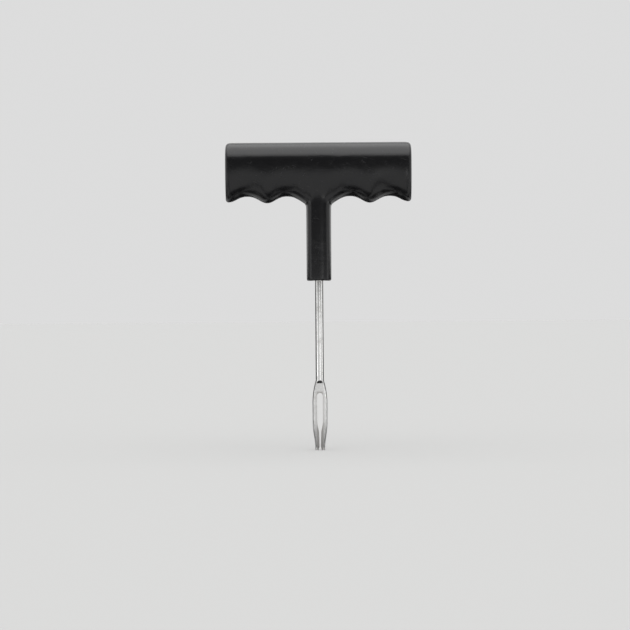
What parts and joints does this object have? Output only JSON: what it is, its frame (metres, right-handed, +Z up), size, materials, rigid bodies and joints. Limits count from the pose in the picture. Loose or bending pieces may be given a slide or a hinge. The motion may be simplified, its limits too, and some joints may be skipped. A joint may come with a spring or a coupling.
{
  "type": "tyre plug insertion tool",
  "caption": "T-handled tyre plug insertion tool: moulded grip bar with finger hollows on a straight stem, and a steel needle with a split eye.",
  "frame": {"origin": "the needle's tip, at the bottom centre of the bounding box, on the shank's axis", "axes": "+Z up the shank from the tip to the palm side of the grip bar, +X along the grip bar, -Y the front face; the tool is symmetric about both the X = 0 and the Y = 0 plane"},
  "size_m": [0.08, 0.018, 0.1325],
  "materials": {
    "black_plastic": "satin to glossy moulded black plastic",
    "plated_steel": "bright plated steel with lengthwise draw lines"
  },
  "bodies": {
    "root": {"handle": "black_plastic", "needle": "plated_steel"}
  },
  "joints": []
}
